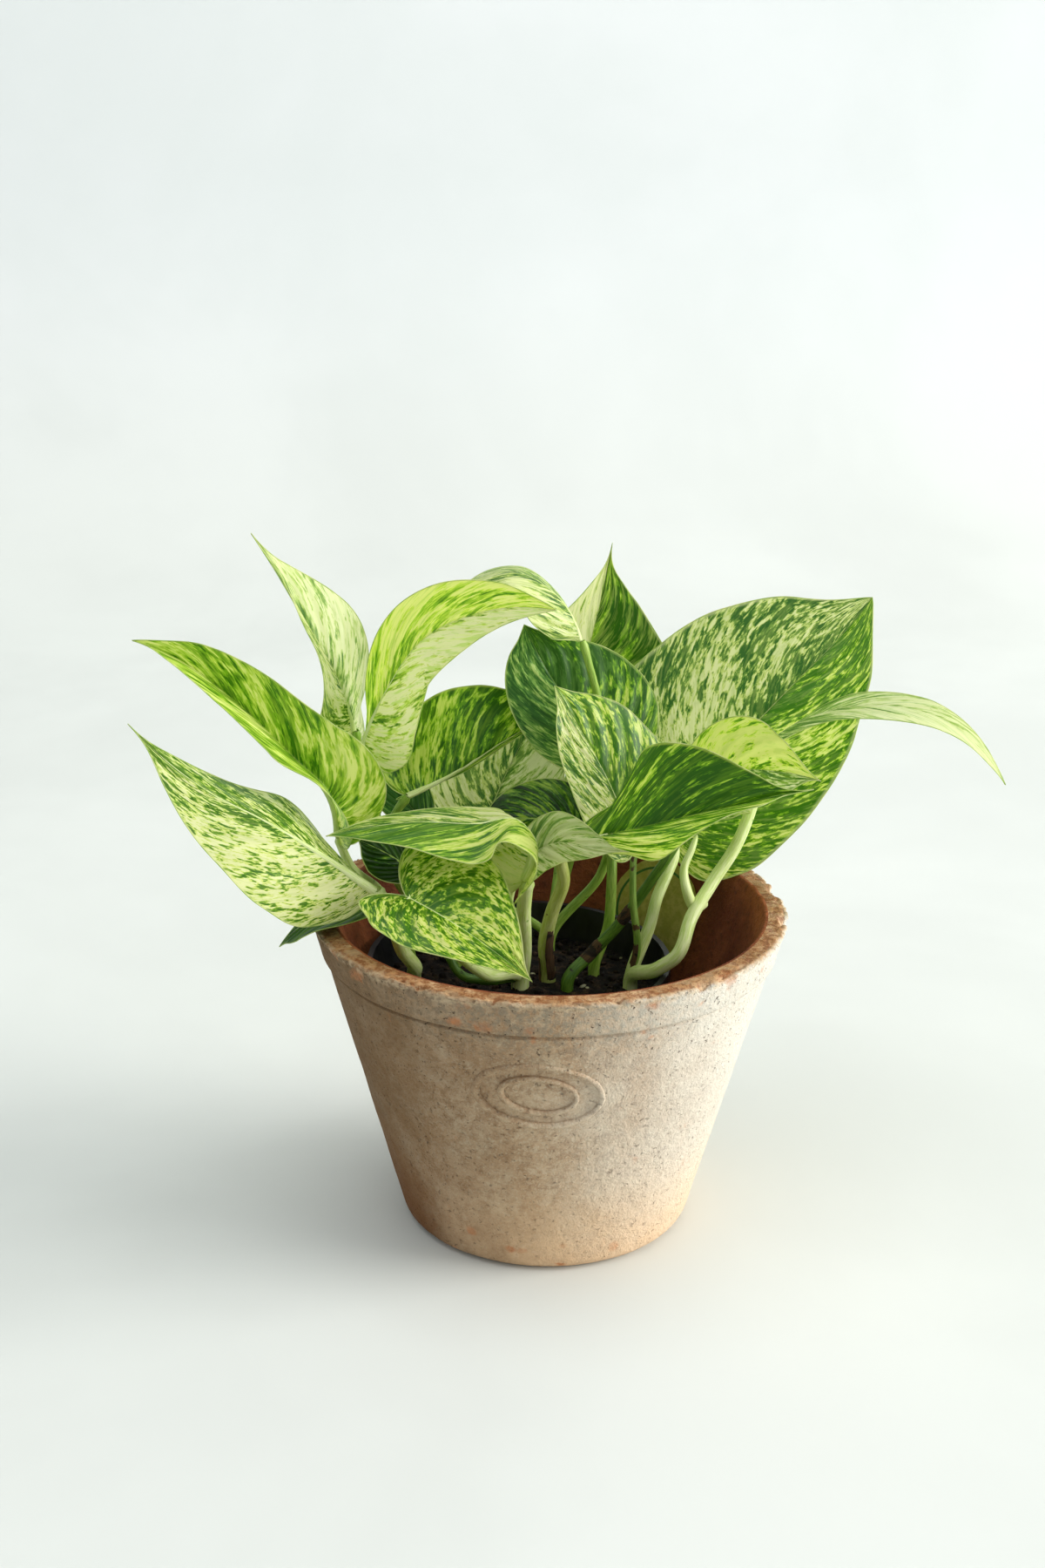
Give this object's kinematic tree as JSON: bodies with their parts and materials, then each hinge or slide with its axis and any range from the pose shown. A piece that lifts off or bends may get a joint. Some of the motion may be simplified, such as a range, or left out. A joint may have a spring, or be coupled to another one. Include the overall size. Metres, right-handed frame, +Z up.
{
  "type": "potted snow queen pothos",
  "caption": "Variegated pothos with heart-shaped cream-flecked leaves on bare stalks, growing in a nursery pot inside an aged tapered terracotta pot.",
  "frame": {"origin": "centre of the terracotta pot's foot, on the surface it stands on", "axes": "+Z up, -Y towards the front of the plant, +X to the right seen from the front"},
  "size_m": [0.3022, 0.17, 0.2442],
  "materials": {
    "terracotta": "aged unglazed clay with a chalky bloom",
    "black_plastic": "thin moulded plastic",
    "soil": "moist peaty potting mix",
    "kraft_paper": "brown paper with a thin green ring",
    "stem": "smooth pale green petiole",
    "leaf_pale": "waxy, cream with green flecks",
    "leaf_green": "waxy, green with cream streaks",
    "leaf_dark": "waxy, dark green with few streaks"
  },
  "bodies": {
    "root": {"leaf_arched_left": "leaf_pale", "leaf_back_arch": "leaf_green", "leaf_back_left": "leaf_dark", "leaf_back_mid": "leaf_dark", "leaf_back_point": "leaf_green", "leaf_centre_dark": "leaf_dark", "leaf_centre_mottled": "leaf_green", "leaf_centre_streaked": "leaf_dark", "leaf_curled_front": "leaf_green", "leaf_front_heart": "leaf_green", "leaf_front_right": "leaf_green", "leaf_low_dark": "leaf_dark", "leaf_low_left": "leaf_pale", "leaf_mid_left": "leaf_dark", "leaf_right_cupped": "leaf_green", "leaf_right_large": "leaf_green", "leaf_right_slim": "leaf_green", "leaf_small_centre": "leaf_pale", "leaf_top_left": "leaf_pale", "leaf_under_left": "leaf_pale", "leaf_upper_left": "leaf_green", "nursery_pot": "black_plastic", "paper_label": "kraft_paper", "soil": "soil", "stem_arch": "stem", "stem_back": "stem", "stem_back_left": "stem", "stem_centre": "stem", "stem_diagonal": "stem", "stem_front_left": "stem", "stem_left": "stem", "stem_right": "stem", "terracotta_pot": "terracotta"}
  },
  "joints": []
}
